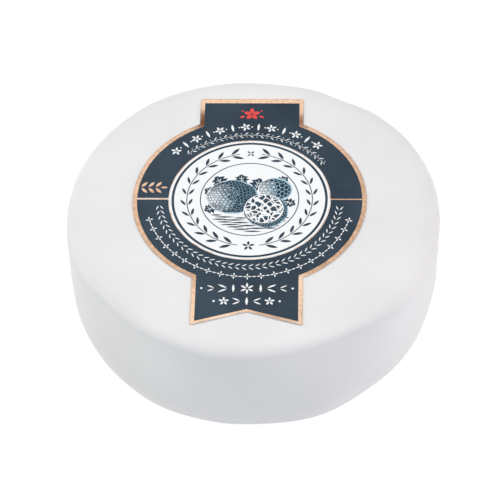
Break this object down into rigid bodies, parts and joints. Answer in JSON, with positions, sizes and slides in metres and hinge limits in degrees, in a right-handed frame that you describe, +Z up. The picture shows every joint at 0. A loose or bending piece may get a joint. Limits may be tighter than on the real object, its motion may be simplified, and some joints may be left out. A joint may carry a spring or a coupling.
{
  "type": "truffle cheddar cheese",
  "caption": "Whole uncut cheese in a coat of white wax, a low round with a flat top and soft shoulder, with a rosette-shaped label stuck on its top.",
  "frame": {"origin": "middle of the base, at the bottom of the whole part's box", "axes": "+Z up, +Y towards the label's square tab, +X to the right as the label is looked at from its tail"},
  "size_m": [0.0844, 0.085, 0.0301],
  "materials": {
    "white_wax": "satin",
    "slate_print": "matte",
    "white_print": "matte",
    "copper_foil": "satin",
    "red_print": "matte"
  },
  "bodies": {
    "root": {"waxed_cheese": "white_wax", "label": "slate_print"}
  },
  "joints": []
}
